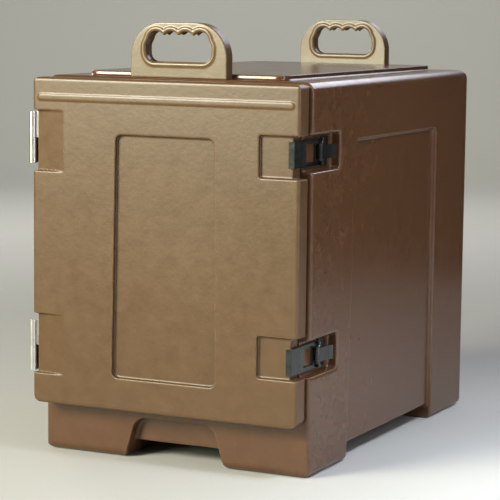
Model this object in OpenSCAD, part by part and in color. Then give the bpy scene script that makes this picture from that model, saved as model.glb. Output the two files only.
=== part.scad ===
// Insulated food carrier: a foam-filled moulded box with a side-hinged front door,
// two lift-off hinges on its left, two draw latches on its right and two top handles.
// Everything is laid out with X = 0 on the body's middle, Y = 0 on the body's front face
// and Z = 0 on the floor, and place() then moves it to the frame's origin.

/* [Body] */
// Width of the body across its side walls
body_w = 432; // [380:1:520]
// Depth of the body from its front face to its back face
body_d = 622; // [560:1:760]
// Height of the body's top rim above the floor
rim_z = 561; // [500:1:680]
// Thickness of the moulded skin
skin = 3.5; // [2.5:0.1:5]
// Round along the long top edges
top_r = 16; // [10:1:24]
// Round on the upright corners
corner_r = 5; // [5:1:16]
// Round on the bottom edges of the feet
foot_edge_r = 12; // [5:1:16]
// Round on the corners of the side and back panels
panel_r = 9; // [6:1:16]
// Round on the front and back edges of the top
front_r = 8; // [6:1:12]
// Rise of the stacking platform on the top
platform_h = 7; // [4:1:12]
// Margin between the stacking platform and the body's sides
platform_margin = 56; // [30:1:80]
// Depth of the recessed side and back panels
panel_depth = 6; // [3:0.5:9]
// Height of the side panels above the floor
panel_top = 473; // [380:1:480]
// Distance from the front face to the top of the side panel's front edge
panel_front = 155; // [140:1:180]
// Distance from the back face to the side panel
panel_back = 142; // [130:1:170]
// Height of the back panel's bottom edge above the floor
back_panel_z = 92; // [80:1:120]
// How far the side panels widen towards the floor at the front
panel_flare = 17; // [0:1:25]

/* [Cavity] */
// Width of the cavity between its side walls
cavity_w = 334; // [330:1:350]
// Height of the cavity
cavity_h = 428; // [340:1:470]
// Height of the cavity's floor above the ground
cavity_z = 98; // [90:1:120]
// Thickness of the back wall
back_wall = 52; // [40:1:80]
// Round on the cavity's long corners
cavity_r = 14; // [8:1:24]
// Number of pan ledges on each side
ledge_count = 5; // [3:1:5]
// Height of the first ledge's top over the cavity's floor
ledge_first = 72; // [68:1:80]
// Distance from one ledge to the next
ledge_pitch = 76.2; // [70:0.1:80]
// How far a ledge stands in from the wall
ledge_depth = 11.5; // [8:0.5:13]
// Thickness of a ledge
ledge_h = 12; // [8:1:16]
// Distance from the front face to the front end of the ledges
ledge_front = 30; // [24:1:60]
// Distance from the back end of the ledges to the back of the cavity
ledge_back = 12; // [6:1:40]

/* [Feet] */
// Height of the underside between the feet
base_z = 25; // [20:1:34]
// Width of the gap between the left and right feet, at the floor
foot_gap_w = 163; // [120:1:200]
// How much the front and back gaps narrow by their top, on each side
foot_gap_lean = 18; // [8:1:24]
// Height of the recess over the front and back gaps
foot_gap_h = 62; // [50:1:66]
// Depth of the recess over the front and back gaps
foot_gap_depth = 18; // [12:1:24]
// Round on the top corners of the front and back gaps
foot_gap_r = 22; // [8:1:28]
// Round over the gaps between the front and rear feet
foot_r = 8; // [4:1:12]

/* [Handles] */
// Width of a handle
handle_w = 155; // [140:1:200]
// Height of the handles above the body's top rim
handle_rise = 79; // [70:1:110]
// Thickness of a handle from front to back
handle_t = 20; // [16:1:26]
// Distance from the body's front or back face to the handle
handle_inset = 6; // [4:1:10]
// Round on the shoulders of a handle
handle_r = 50; // [30:1:60]
// Width of the grip hole
grip_w = 109; // [104:1:120]
// Height of the grip hole up to the finger hollows
grip_h = 47; // [46:1:56]
// Thickness of the bar over the grip hole
grip_bar = 11; // [8:1:16]
// Round on the lower corners of the grip hole
grip_r = 16; // [10:1:20]
// Distance between the finger hollows
finger_pitch = 23.7; // [21:0.1:25]
// Radius of a finger hollow
finger_r = 14.7; // [13:0.1:16]

/* [Door] */
// Gap between the body's front face and the back of the door
door_gap = 5.2; // [4:0.1:8]
// Thickness of the door's panel
door_t = 30.2; // [28:0.1:40]
// Height of the door's bottom edge above the floor
door_bottom = 77; // [70:1:80]
// Distance from the rim down to the door's top edge
door_drop = 2.4; // [1:0.1:6]
// How far the door's left edge stands past the body's side
door_over_left = 1.9; // [0:0.1:3]
// How far the door's right edge lies within the body's side
door_in_right = 3.6; // [1:0.1:6]
// Round on the door's edges
door_edge_r = 4.5; // [4:0.5:8]
// Round on the door's top corners, seen from the front
door_top_r = 9; // [7:1:16]
// Round on the door's bottom corners, seen from the front
door_bottom_r = 14; // [8:1:20]
// Width of the recessed panel at its top
door_panel_w = 158; // [100:1:220]
// How much wider the recessed panel is at its bottom
door_panel_flare = 10; // [0:1:16]
// Distance from the door's top edge to the recessed panel
door_panel_drop = 79; // [60:1:110]
// Distance from the door's bottom edge to the recessed panel
door_panel_lift = 48; // [40:1:90]
// Depth of the recessed panel
door_panel_depth = 7; // [4:0.5:9]
// Round on the corners of the recessed panel
door_panel_r = 10; // [6:1:16]
// Distance from the door's top edge to the middle of the bead
bead_drop = 29; // [22:1:36]
// Height of the bead across the door
bead_h = 7.6; // [5:0.2:10]
// Width of the groove round the bead
bead_groove_w = 1.8; // [1:0.1:3]
// Depth of the groove round the bead
bead_groove_d = 1; // [0.5:0.1:1.5]
// How far the bead stands out
bead_t = 1.2; // [0.6:0.1:1.6]
// Distance from the bead's ends to the door's edges
bead_inset = 10; // [8:1:30]
// Depth that the door's plug reaches into the cavity
plug_depth = 12; // [6:1:16]
// Width of the gasket
gasket_w = 10; // [7:0.5:12]
// Width of the gasket's root
gasket_root_w = 3; // [2:0.5:4]
// Depth of the gasket's root in the door
gasket_root_d = 4; // [3:0.5:6]

/* [Hinges] */
// Height of the lower hinge's middle
hinge_low_z = 162; // [150:1:190]
// Height of the upper hinge's middle
hinge_high_z = 470; // [400:1:480]
// Height of a hinge
hinge_h = 75; // [60:1:80]
// Outer radius of a hinge's barrel
barrel_r = 5.2; // [4:0.1:6]
// Radius of a hinge's pin
hinge_pin_r = 2; // [1.5:0.1:2.5]
// Gap between a hinge's barrel and the door's edge
barrel_gap = 2.4; // [1:0.1:4]
// Thickness of a hinge's leaves
leaf_t = 2.4; // [1.6:0.1:3]
// Length of the body's leaf along the side wall
body_leaf_l = 42; // [34:1:60]
// Distance from the back of the door to the end of the door's leaf
door_leaf_back = 2.6; // [1:0.1:5]
// Height of a hinge pocket in the door
hinge_pocket_h = 89; // [84:1:100]
// Width of a hinge pocket's slope
hinge_pocket_w = 53; // [40:1:70]
// Depth of a hinge pocket at the door's edge
hinge_pocket_depth = 8; // [6:0.5:10]
// How far the door's pockets are shifted towards the door's middle
pocket_shift = 4; // [0:0.5:6]

/* [Latches] */
// Height of the lower latch's middle
latch_low_z = 172; // [160:1:190]
// Height of the upper latch's middle
latch_high_z = 462; // [390:1:480]
// Depth of the latch recess in the side wall
latch_depth = 16; // [14:0.5:20]
// Length of the latch recess along the side wall
latch_recess_l = 97; // [92:1:110]
// Height of the latch recess in the side wall
latch_recess_h = 52; // [48:1:60]
// Round on the corners of the latch recess
latch_recess_r = 5; // [3:0.5:8]
// Depth of the step round the mouth of the latch recess
recess_step_d = 2; // [1:0.5:4]
// Width of the step round the mouth of the latch recess
recess_step_w = 2.5; // [1:0.5:4]
// Height of the latch pocket in the door
latch_pocket_h = 60; // [56:1:70]
// Width of the latch pocket in the door's front
latch_pocket_w = 63; // [50:1:80]
// Depth of the latch pocket in the door's front
latch_pocket_depth = 6; // [5.5:0.5:9]
// Height of the hook plate
hook_h = 38; // [34:1:42]
// Thickness of the hook plate
hook_t = 3; // [2.4:0.1:3.6]
// Width of the lip that holds the door
lip_w = 9; // [7:0.5:11]
// Thickness of the lip that holds the door
lip_t = 4.6; // [3:0.1:5]
// Height of the hook plate's window
window_h = 26; // [25.5:0.5:28]
// Distance from the front face to the window's front edge
window_front = 5.6; // [2:0.1:12]
// Distance from the front face to the lever's pivot
lever_pivot_y = 44; // [42:0.5:48]
// Height of the lever's pivot over the recess's floor
lever_pivot_x = 7; // [6.8:0.1:7.4]
// Length of the lever behind its pivot
lever_l = 39; // [34:0.5:42]
// Height of the lever, across its width
lever_h = 20; // [16:0.5:20.4]
// Thickness of the lever's plate
lever_t = 3; // [2.4:0.1:4]
// Distance from the lever's pivot to the hook's pivot
hook_pivot_l = 10; // [9:0.5:12]
// How far the hook's pivot lies below the lever's pivot when latched
over_centre = 1.2; // [0.6:0.1:1.8]
// Radius of the lever's pin
lever_pin_r = 1.75; // [1.5:0.05:2]
// Radius of the hook's pin
hook_pin_r = 1.5; // [1.2:0.05:1.6]
// Thickness of the latch's base plate
latch_base_t = 2.4; // [2:0.1:2.5]

/* [Fasteners] */
// Radius of a screw's shank
screw_r = 2.4; // [2:0.1:2.6]
// Radius of a screw's countersunk head
screw_head_r = 4.3; // [3.8:0.1:4.6]
// Length of a screw
screw_l = 14; // [10:1:18]
// Outer radius of a threaded insert
insert_r = 4; // [3.4:0.1:4.6]
// Length of a threaded insert
insert_l = 13; // [10:1:18]
// Radius of a foam filling port in the body
port_r = 12; // [8:1:16]
// Radius of the foam filling port in the door
door_port_r = 7; // [5:0.5:8]
// Thickness of a filling plug's head
plug_head_t = 1.6; // [1.2:0.1:3]
// How far a filling plug's head stands past its port
plug_lip = 3; // [2:0.5:4]
// Length of a filling plug's stem
plug_stem = 8; // [5:1:12]

/* [Fits] */
// Radial running clearance of the pins
pin_clearance = 0.05; // [0.01:0.01:0.1]
// Clearance between pieces that move past each other
move_clearance = 0.4; // [0.3:0.05:0.8]
// Clearance round the door's plug in the cavity
plug_clearance = 4; // [3:0.5:6]

/* [Hidden] */
$fn = 72;
eps = 0.01;
past = 40;                       // how far a cutting shape runs past the face it opens
corner_steps = 8;                // straight steps round the corner of a slanted outline

moulded = [0.42, 0.33, 0.24];
door_colour = [0.52, 0.44, 0.33];
steel = [0.78, 0.78, 0.76];
nylon = [0.09, 0.10, 0.09];
foam_colour = [0.86, 0.79, 0.55];
rubber = [0.16, 0.16, 0.16];
brass = [0.75, 0.60, 0.30];

side_x = body_w / 2;
cavity_top = cavity_z + cavity_h;
cavity_back = body_d - back_wall;
platform_top = rim_z + platform_h;
handle_top = rim_z + handle_rise;

door_left = -side_x - door_over_left;
door_right = side_x - door_in_right;
door_back = -door_gap;
door_front = -door_gap - door_t;
door_top = rim_z - door_drop;

// The hinge's axis stands at the door's front left corner, so that the door folds back
// along the body's side, and its barrel is flush with the door's front face.
hinge_x = -side_x - barrel_r + 0.6;
hinge_y = door_front + barrel_r;
hinge_notch_x = hinge_x + barrel_r + barrel_gap;
hinge_zs = [hinge_low_z, hinge_high_z];

recess_x = side_x - latch_depth;
latch_zs = [latch_low_z, latch_high_z];
latch_notch_x = recess_x - 0.6;
pocket_floor_y = door_front + latch_pocket_depth;
lever_pivot = [recess_x + lever_pivot_x, lever_pivot_y];
hook_pivot = lever_pivot + [-over_centre, hook_pivot_l];
lever_hub_r = lever_pivot_x - latch_base_t - move_clearance;
hook_eye_r = hook_pin_r + 1.7;
hook_x = recess_x + 0.6;
hook_tip_y = pocket_floor_y - move_clearance;
ear_t = 1.9;
ear_z = lever_h / 2 + move_clearance;
base_half = ear_z + ear_t;
base_front = lever_pivot_y - lever_hub_r - 3;
flange_front = hook_pivot.y + hook_eye_r + 2;
flange_back = flange_front + 22;
flange_half = hook_h / 2 + 2;

// The frame's origin is the middle of the whole object's base.
x_mid = (hinge_x - barrel_r + side_x) / 2;
y_mid = (door_front - bead_t + body_d) / 2;

module place() translate([-x_mid, -y_mid, 0]) children();

// A flat shape drawn in (X, Z), (Y, Z) or (X, Y) and extruded along the third axis
module along_y(y0, y1) translate([0, y1, 0]) rotate([90, 0, 0]) linear_extrude(y1 - y0) children();
module along_x(x0, x1) translate([x0, 0, 0]) rotate([90, 0, 90]) linear_extrude(x1 - x0) children();
module along_z(z0, z1) translate([0, 0, z0]) linear_extrude(z1 - z0) children();

// A rectangle from corner lo to corner hi, with round corners of radius r
module soft_rect(lo, hi, r) {
    translate([lo.x + r, lo.y]) square([hi.x - lo.x - 2 * r, hi.y - lo.y]);
    translate([lo.x, lo.y + r]) square([hi.x - lo.x, hi.y - lo.y - 2 * r]);
    for (x = [lo.x + r, hi.x - r], y = [lo.y + r, hi.y - r]) translate([x, y]) circle(r);
}

// A convex outline given by the middles of its round corners, counterclockwise
module soft_poly(middles, r) {
    count = len(middles);
    function facing(i) = let (run = middles[(i + 1) % count] - middles[i % count]) atan2(run.y, run.x) - 90;
    polygon([for (i = [0 : count - 1])
        let (start = facing(i + count - 1), turn = (facing(i) - start + 720) % 360)
        for (step = [0 : corner_steps])
            let (angle = start + turn * step / corner_steps)
            middles[i] + r * [cos(angle), sin(angle)]]);
}

// ---------------------------------------------------------------- body

// The body's outer block, with everything drawn in by inset
module body_block(inset = 0) {
    lo_x = -side_x + inset;
    top = rim_z - inset;
    intersection() {
        along_y(inset, body_d - inset) {
            soft_rect([lo_x, top / 2], [-lo_x, top], top_r - inset);
            soft_rect([lo_x, inset], [-lo_x, top * 0.6], foot_edge_r - inset);
        }
        along_z(inset, top)
            soft_rect([lo_x, inset], [-lo_x, body_d - inset], corner_r - inset);
        along_x(lo_x, -lo_x) {
            soft_rect([inset, top / 2], [body_d - inset, top], front_r - inset);
            soft_rect([inset, inset], [body_d - inset, top * 0.6], foot_edge_r - inset);
        }
    }
}

module platform(inset = 0) {
    x = side_x - platform_margin - inset;
    front = handle_inset + handle_t + inset;
    along_z(rim_z - top_r, platform_top - inset)
        soft_rect([-x, front], [x, body_d - front], top_r - inset);
}

module cavity(grow = 0) {
    x = cavity_w / 2 + grow;
    along_y(-past, cavity_back + grow)
        soft_rect([-x, cavity_z - grow], [x, cavity_top + grow], cavity_r + grow);
}

// The gap between two feet, seen from the front. Its sides lean in from the feet's round
// inner corners to its round top.
module foot_gap_outline(grow) {
    lean = foot_gap_lean / foot_gap_h;
    tilt = atan(lean);
    side = foot_gap_w / 2 + grow;
    top_r = foot_gap_r + grow;
    top_z = foot_gap_h - foot_gap_r;
    top_x = side - lean * top_z - top_r / cos(tilt);
    low_r = foot_edge_r - grow;
    low_z = foot_edge_r - 0.4;
    low_x = side - lean * low_z + low_r / cos(tilt);
    half = concat(
        [[low_x, -past]],
        [for (step = [0 : corner_steps]) let (angle = 270 - (90 - tilt) * step / corner_steps)
            [low_x + low_r * cos(angle), low_z + low_r * sin(angle)]],
        [for (step = [0 : corner_steps]) let (angle = tilt + (90 - tilt) * step / corner_steps)
            [top_x + top_r * cos(angle), top_z + top_r * sin(angle)]]);
    last = len(half) - 1;
    polygon(concat(half, [for (i = [0 : last]) [-half[last - i].x, half[last - i].y]]));
}

// The gaps between the feet, and the hand recess over the gap at the front and back
module foot_gaps(grow = 0) {
    along_y(-past, body_d + past) intersection() {
        foot_gap_outline(grow - 0.5);
        translate([-body_w, -2 * past]) square([2 * body_w, 2 * past + base_z + grow]);
    }
    for (y = [[-past, foot_gap_depth + grow], [body_d - foot_gap_depth - grow, body_d + past]])
        along_y(y[0], y[1]) foot_gap_outline(grow);
    along_x(-side_x - past, side_x + past)
        soft_rect([panel_front - panel_flare - grow, -past],
                  [body_d - panel_back + grow, base_z + grow], foot_r);
}

// The shallow panels in the side walls, and the one in the back wall
module wall_panels(grow = 0) {
    front = panel_front - grow;
    back = body_d - panel_back + grow;
    r = panel_r;
    top = panel_top + grow - r;
    for (x = [[-side_x - past, -side_x + panel_depth + grow],
              [side_x - panel_depth - grow, side_x + past]])
        along_x(x[0], x[1])
            soft_poly([[front - panel_flare + r, 0], [back - r, 0],
                       [back - r, top], [front + r, top]], r);
    half = side_x - panel_back / 2 + grow;
    along_y(body_d - panel_depth - grow, body_d + past)
        soft_rect([-half, back_panel_z - grow], [half, panel_top + grow], r + grow);
}

// Each latch's recess in the side wall, with a shallow step round its mouth
module latch_recesses(grow = 0) {
    for (z = latch_zs, cut = [[recess_x, 0], [side_x - recess_step_d, recess_step_w]]) {
        half = latch_recess_h / 2 + cut[1] + grow;
        along_x(cut[0] - grow, side_x + past)
            soft_rect([-past, z - half], [latch_recess_l + cut[1] + grow, z + half],
                      latch_recess_r + cut[1] + grow);
    }
}

module body_cuts(grow = 0) {
    cavity(grow);
    foot_gaps(grow);
    wall_panels(grow);
    latch_recesses(grow);
}

module body_foam_space() {
    difference() {
        union() {
            body_block(skin);
            platform(skin);
        }
        body_cuts(skin);
    }
}

module body_outer() {
    difference() {
        union() {
            body_block();
            platform();
        }
        body_cuts();
    }
}

// The foam filling ports lie in the back wall's panel
port_spots = [for (side = [-1, 1]) [side * (side_x - panel_back), body_d - panel_depth,
                                    back_panel_z + 40]];

module body_ports() {
    for (p = port_spots) translate(p) rotate([90, 0, 0]) {
        translate([0, 0, -past]) cylinder(h = past + skin + plug_stem, r = port_r);
        translate([0, 0, -past]) cylinder(h = past + plug_head_t, r = port_r + plug_lip);
    }
}

module body_shell() {
    color(moulded) place() difference() {
        body_outer();
        body_foam_space();
        body_ports();
        body_insert_solids(false);
    }
}

module body_foam() {
    color(foam_colour) place() difference() {
        body_foam_space();
        body_ports();
        body_insert_solids(false);
    }
}

module body_fill_plugs() {
    color(moulded) place() for (p = port_spots) translate(p) rotate([90, 0, 0]) {
        cylinder(h = skin + plug_stem, r = port_r);
        cylinder(h = plug_head_t, r = port_r + plug_lip);
    }
}

// ---------------------------------------------------------------- handles

module grip_hole() {
    half = grip_w / 2;
    top = handle_top - grip_bar;
    bottom = top - grip_h;
    shoulder = top - finger_r;
    reach = finger_pitch * 1.5;
    soft_rect([-half, bottom], [half, shoulder], grip_r);
    for (i = [-1.5 : 1 : 1.5]) translate([i * finger_pitch, shoulder]) circle(finger_r);
    polygon([[-half, bottom + grip_r], [half, bottom + grip_r], [half, shoulder - 6],
             [reach + finger_r * 0.7, shoulder + finger_r * 0.7],
             [reach, shoulder], [-reach, shoulder],
             [-reach - finger_r * 0.7, shoulder + finger_r * 0.7], [-half, shoulder - 6]]);
}

module handle(front) {
    half = handle_w / 2;
    color(moulded) place() difference() {
        along_y(front, front + handle_t) difference() {
            soft_rect([-half, rim_z - 2 * handle_r], [half, handle_top], handle_r);
            grip_hole();
        }
        body_outer();
        translate([-half - 1, -past, 0]) cube([handle_w + 2, body_d + 2 * past, rim_z - front_r]);
    }
}

module front_handle() handle(handle_inset);
module rear_handle() handle(body_d - handle_inset - handle_t);

// ---------------------------------------------------------------- pan ledges

module right_pan_ledges() {
    inner = cavity_w / 2 - ledge_depth;
    color(moulded) place() for (i = [0 : ledge_count - 1]) {
        top = cavity_z + ledge_first + i * ledge_pitch;
        along_z(top - ledge_h, top) intersection() {
            soft_rect([inner, ledge_front], [inner + 4 * ledge_depth, cavity_back - ledge_back],
                      ledge_depth * 0.6);
            translate([inner, 0]) square([ledge_depth, body_d]);
        }
    }
}

module left_pan_ledges()
    translate([-2 * x_mid, 0, 0]) mirror([1, 0, 0]) right_pan_ledges();

// ---------------------------------------------------------------- door

module door_block(inset = 0) {
    lo = [door_left + inset, door_bottom + inset];
    hi = [door_right - inset, door_top - inset];
    r = door_edge_r - inset / 2;
    half = (lo.y + hi.y) / 2;
    intersection() {
        along_y(door_front + inset, door_back - inset) union() {
            soft_rect(lo, [hi.x, half], door_bottom_r - inset);
            translate([lo.x, lo.y + door_bottom_r]) square([hi.x - lo.x, half - lo.y - door_bottom_r]);
            soft_rect([lo.x, half - door_bottom_r], hi, door_top_r - inset);
        }
        along_z(lo.y, hi.y)
            soft_rect([lo.x, door_front + inset], [hi.x, door_back - inset], r);
        along_x(lo.x, hi.x)
            soft_rect([door_front + inset, lo.y], [door_back - inset, hi.y], r);
    }
}

// The raised back of the door that fills the cavity's mouth
module door_plug(inset = 0) {
    x = cavity_w / 2 - plug_clearance - inset;
    along_y(door_back - door_edge_r - skin, plug_depth - inset)
        soft_rect([-x, cavity_z + plug_clearance + inset], [x, cavity_top - plug_clearance - inset],
                  cavity_r - plug_clearance);
}

// The bead's outline, grown by out, from depth y0 to y1
module bead_bar(out, y0, y1) {
    z = door_top - bead_drop;
    half = bead_h / 2 + out;
    along_y(y0, y1)
        soft_rect([door_left + bead_inset - out, z - half], [door_right - bead_inset + out, z + half],
                  half - eps);
}

module door_bead() bead_bar(0, door_front - bead_t, door_front + skin / 2);

// A ring round the cavity's mouth, w wide, with its middle a gasket's width out
module mouth_ring(w) {
    mid = gasket_w * 0.8;
    difference() {
        mouth_outline(mid + w / 2);
        mouth_outline(mid - w / 2);
    }
}

module mouth_outline(out)
    soft_rect([-cavity_w / 2 - out, cavity_z - out], [cavity_w / 2 + out, cavity_top + out],
              cavity_r + out);

// Heights of the middles of the door's pockets, nearer the door's middle than the hardware
function pocket_zs(zs) = [zs[0] + pocket_shift, zs[1] - pocket_shift];

module hinge_pockets(grow = 0) {
    for (z = pocket_zs(hinge_zs)) along_z(z - hinge_pocket_h / 2 - grow, z + hinge_pocket_h / 2 + grow) {
        slope = hinge_pocket_depth / hinge_pocket_w;
        start = door_left + hinge_pocket_w + grow / slope / 2;
        polygon([[door_left - past, door_front - past], [start, door_front - past],
                 [start, door_front + grow / 2],
                 [door_left, door_front + hinge_pocket_depth + grow],
                 [door_left - past, door_front + hinge_pocket_depth + grow]]);
        translate([hinge_notch_x - 4 * past + grow, -4 * past]) square([4 * past, 8 * past]);
    }
}

module latch_pockets(grow = 0) {
    for (z = pocket_zs(latch_zs)) {
        lo = z - latch_pocket_h / 2 - grow;
        hi = z + latch_pocket_h / 2 + grow;
        along_y(door_front - past, pocket_floor_y + grow)
            soft_rect([door_right - latch_pocket_w - grow, lo], [door_right + past, hi], 4 + grow);
        translate([latch_notch_x - grow, -4 * past, lo]) cube([4 * past, 8 * past, hi - lo]);
    }
}

module door_panel(grow = 0) {
    half = door_panel_w / 2 + grow - door_panel_r;
    top = door_top - door_panel_drop + grow - door_panel_r;
    bottom = door_bottom + door_panel_lift - grow + door_panel_r;
    flare = door_panel_flare / 2;
    along_y(door_front - past, door_front + door_panel_depth + grow)
        soft_poly([[-half - flare, bottom], [half + flare, bottom], [half, top], [-half, top]],
                  door_panel_r);
}

module door_groove(grow = 0) {
    along_y(door_back - gasket_root_d - grow, door_back + past)
        mouth_ring(gasket_root_w + 2 * grow);
}

module door_cuts(grow = 0) {
    hinge_pockets(grow);
    latch_pockets(grow);
    door_panel(grow);
}

module door_foam_space() {
    difference() {
        union() {
            door_block(skin);
            door_plug(skin);
        }
        door_cuts(skin);
        door_groove(skin);
    }
}

door_port = [0, (door_front + door_panel_depth + door_back) / 2, door_bottom];

module door_port_hole() {
    translate(door_port) {
        translate([0, 0, -past]) cylinder(h = past + skin + plug_stem, r = door_port_r);
        translate([0, 0, -past]) cylinder(h = past + plug_head_t, r = door_port_r + plug_lip);
    }
}

module door_shell() {
    color(door_colour) place() difference() {
        union() {
            difference() {
                union() {
                    door_block();
                    door_plug();
                }
                door_cuts();
                bead_bar(bead_groove_w, door_front - past, door_front + bead_groove_d);
            }
            door_bead();
        }
        door_groove();
        door_foam_space();
        door_port_hole();
        door_insert_solids(false);
    }
}

module door_foam() {
    color(foam_colour) place() difference() {
        door_foam_space();
        door_port_hole();
        door_insert_solids(false);
    }
}

module door_fill_plug() {
    color(door_colour) place() translate(door_port) {
        cylinder(h = skin + plug_stem, r = door_port_r);
        cylinder(h = plug_head_t, r = door_port_r + plug_lip);
    }
}

// A flat bulb between the door and the body's rim, on a root pressed into the door's groove
module door_gasket() {
    color(rubber) place() {
        along_y(door_back, -move_clearance) mouth_ring(gasket_w);
        along_y(door_back - gasket_root_d, door_back + eps) mouth_ring(gasket_root_w);
    }
}

// ---------------------------------------------------------------- fasteners

// A countersunk screw whose head is flush at the origin and whose shank runs along -Z
module screw(length = screw_l) {
    head_h = screw_head_r - screw_r;
    difference() {
        union() {
            translate([0, 0, -head_h]) cylinder(h = head_h, r1 = screw_r, r2 = screw_head_r);
            translate([0, 0, -length]) cylinder(h = length - head_h + eps, r = screw_r);
        }
        for (turn = [0, 90]) rotate([0, 0, turn])
            translate([-screw_r, -0.45, -head_h * 0.8]) cube([2 * screw_r, 0.9, head_h]);
    }
}

// The hole that a countersunk screw takes in a plate whose face is at the origin
module screw_hole() {
    head_h = screw_head_r - screw_r;
    translate([0, 0, -head_h]) cylinder(h = head_h, r1 = screw_r, r2 = screw_head_r);
    translate([0, 0, -past]) cylinder(h = past + eps, r = screw_r);
}

// A threaded insert with its mouth at the origin, running along -Z
module insert(hollow = true) {
    difference() {
        translate([0, 0, -insert_l]) cylinder(h = insert_l, r = insert_r);
        if (hollow) translate([0, 0, -past]) cylinder(h = 2 * past, r = screw_r);
    }
}

// Where the screws stand: a point on the outer face of the plate, for each screw
leaf_rows = [for (z = hinge_zs, dz = [-1, 1], y = [0.3, 0.78])
             [-side_x - leaf_t, body_leaf_l * y, z + dz * hinge_h * 0.34]];
door_leaf_rows = [for (z = hinge_zs, dz = [0.15, 0.37])
                  [hinge_notch_x - leaf_t, (hinge_y + door_back) / 2, z + dz * hinge_h]];
latch_rows = [for (z = latch_zs, dz = [-1, 1])
              [recess_x + latch_base_t, (flange_front + flange_back) / 2,
               z + dz * (flange_half - screw_head_r - 0.8)]];

module at_left(spots, depth = 0) for (p = spots) translate(p + [depth, 0, 0]) rotate([0, -90, 0]) children();
module at_right(spots, depth = 0) for (p = spots) translate(p - [depth, 0, 0]) rotate([0, 90, 0]) children();

module body_insert_solids(hollow) {
    at_left(leaf_rows, leaf_t) insert(hollow);
    at_right(latch_rows, latch_base_t) insert(hollow);
}
module door_insert_solids(hollow) at_left(door_leaf_rows, leaf_t) insert(hollow);

module body_inserts() color(brass) place() body_insert_solids(true);
module door_inserts() color(brass) place() door_insert_solids(true);
module hinge_body_screws() color(steel) place() at_left(leaf_rows) screw();
module hinge_door_screws() color(steel) place() at_left(door_leaf_rows) screw();
module latch_screws() color(steel) place() at_right(latch_rows) screw();

// ---------------------------------------------------------------- hinges

// The lower half of the barrel and the leaf that is screwed to the body's side wall
module body_leaf(z) {
    low = z - hinge_h / 2;
    color(steel) place() difference() {
        union() {
            along_z(low, z - move_clearance) {
                translate([hinge_x, hinge_y]) circle(barrel_r);
                translate([-side_x - leaf_t, hinge_y]) square([leaf_t, 6 - hinge_y]);
            }
            along_x(-side_x - leaf_t, -side_x) {
                soft_rect([2, low], [body_leaf_l, z + hinge_h / 2], 4);
                translate([2, low]) square([8, hinge_h / 2]);
            }
        }
        translate([hinge_x, hinge_y, low - 1]) cylinder(h = hinge_h, r = hinge_pin_r);
        at_left(leaf_rows) screw_hole();
    }
}

// The upper half of the barrel and the leaf that is screwed into the door's edge
module door_leaf(z) {
    high = z + hinge_h / 2;
    color(steel) place() difference() {
        along_z(z, high) {
            translate([hinge_x, hinge_y]) circle(barrel_r);
            translate([hinge_x, hinge_y + barrel_r - leaf_t])
                square([hinge_notch_x - hinge_x, leaf_t]);
            translate([hinge_notch_x - leaf_t, hinge_y + barrel_r - leaf_t])
                square([leaf_t, door_back - door_leaf_back - hinge_y - barrel_r + leaf_t]);
        }
        translate([hinge_x, hinge_y, z - 1]) cylinder(h = hinge_h, r = hinge_pin_r + pin_clearance);
        at_left(door_leaf_rows) screw_hole();
    }
}

module hinge_pin(z) {
    color(steel) place() translate([hinge_x, hinge_y, z - hinge_h / 2])
        cylinder(h = hinge_h - 1, r = hinge_pin_r);
}

module upper_hinge_body_leaf() body_leaf(hinge_high_z);
module upper_hinge_door_leaf() door_leaf(hinge_high_z);
module upper_hinge_pin() hinge_pin(hinge_high_z);
module lower_hinge_body_leaf() body_leaf(hinge_low_z);
module lower_hinge_door_leaf() door_leaf(hinge_low_z);
module lower_hinge_pin() hinge_pin(hinge_low_z);

// ---------------------------------------------------------------- latches

// A base plate with two ears for the lever's pin and two flanges for its screws
module latch_base(z) {
    color(nylon) place() difference() {
        union() {
            along_x(recess_x, recess_x + latch_base_t) {
                translate([base_front, z - base_half])
                    square([flange_back - base_front, 2 * base_half]);
                soft_rect([flange_front, z - flange_half], [flange_back, z + flange_half], 4);
            }
            for (side = [-1, 1]) along_z(z + side * (ear_z + ear_t / 2) - ear_t / 2,
                                         z + side * (ear_z + ear_t / 2) + ear_t / 2) {
                translate(lever_pivot) circle(lever_hub_r);
                translate([recess_x, lever_pivot_y - lever_hub_r])
                    square([lever_pivot_x, 2 * lever_hub_r]);
            }
        }
        translate([lever_pivot.x, lever_pivot.y, z - 30]) cylinder(h = 60, r = lever_pin_r);
        at_right(latch_rows) screw_hole();
    }
}

// A hub on the lever's pin, a plate that lies along the recess and a turned-out finger tab
module latch_lever(z) {
    p = lever_pivot;
    tab = 14;
    color(nylon) place() difference() {
        along_z(z - lever_h / 2, z + lever_h / 2) {
            translate(p) circle(lever_hub_r);
            translate(hook_pivot) circle(hook_eye_r - 0.4);
            translate([p.x + lever_hub_r - lever_t, p.y]) square([lever_t, lever_l - tab]);
            translate([p.x - 1, p.y]) square([3, hook_pivot_l]);
            polygon([[p.x + lever_hub_r - lever_t, p.y + lever_l - tab - 1],
                     [p.x + lever_hub_r, p.y + lever_l - tab - 1],
                     [p.x + lever_hub_r + 4, p.y + lever_l],
                     [p.x + lever_hub_r + 4 - lever_t, p.y + lever_l]]);
        }
        translate([p.x, p.y, z - lever_h]) cylinder(h = 2 * lever_h, r = lever_pin_r + pin_clearance);
        translate([hook_pivot.x, hook_pivot.y, z - lever_h]) cylinder(h = 2 * lever_h, r = hook_pin_r);
    }
}

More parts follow.
